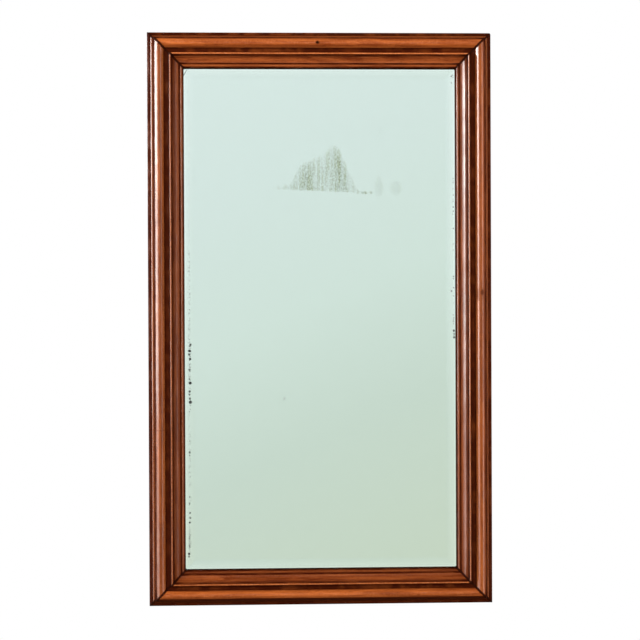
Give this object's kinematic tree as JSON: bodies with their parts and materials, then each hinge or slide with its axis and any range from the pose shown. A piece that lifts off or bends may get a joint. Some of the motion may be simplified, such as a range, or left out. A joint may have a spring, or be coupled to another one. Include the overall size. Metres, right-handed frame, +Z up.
{
  "type": "bistro mirror",
  "caption": "Tall wall mirror: bevelled plate in a deep mitred walnut moulding with an inner slip, panelled wooden back and hinged hanging rings.",
  "frame": {"origin": "middle of the back plane, on the middle rail of the panelled back", "axes": "+Z up, +X to the right for someone looking into the mirror, -Y out of the front, +Y towards the wall"},
  "size_m": [0.775, 0.061, 1.29],
  "materials": {
    "walnut": "varnished, worn along the edges, dirt in the quirks",
    "walnut_slip": "varnished, worn along the edges, dirt in the quirks",
    "plate_glass": "polished, ground bevel, faint green",
    "silvering": "old silver, foxed at the edges and in one patch",
    "block_wood": "sawn softwood, glue marks",
    "key_wood": "planed hardwood, oiled dark",
    "back_wood": "planed pine, darkened with age",
    "panel_wood": "planed pine, darkened with age",
    "screw_steel": "dull, browned",
    "hanger_steel": "dull, lightly rusted",
    "ring_steel": "drawn wire, lightly rusted"
  },
  "bodies": {
    "frame": {"moulding_top": "walnut", "moulding_right": "walnut", "moulding_bottom": "walnut", "moulding_left": "walnut", "slip_top": "walnut_slip", "slip_right": "walnut_slip", "slip_bottom": "walnut_slip", "slip_left": "walnut_slip", "mirror_glass": "plate_glass", "silvering": "silvering", "glass_blocks": "block_wood", "mitre_keys": "key_wood", "back_stile_left": "back_wood", "back_stile_right": "back_wood", "back_rail_top": "back_wood", "back_rail_middle": "back_wood", "back_rail_bottom": "back_wood", "back_panel_upper": "panel_wood", "back_panel_lower": "panel_wood", "back_screws": "screw_steel", "hanger_strap_left": "hanger_steel", "hanger_strap_right": "hanger_steel", "hanger_screws": "screw_steel"},
    "left_ring": {"hanger_ring_left": "ring_steel"},
    "right_ring": {"hanger_ring_right": "ring_steel"}
  },
  "joints": [
    {"name": "left_ring_hinge", "type": "hinge", "parent": "frame", "child": "left_ring", "pos_m": [-0.3585, 0.00278, 0.345], "axis": [1, 0, 0], "range_deg": [0, 180]},
    {"name": "right_ring_hinge", "type": "hinge", "parent": "frame", "child": "right_ring", "pos_m": [0.3585, 0.00278, 0.345], "axis": [1, 0, 0], "range_deg": [0, 180]}
  ]
}
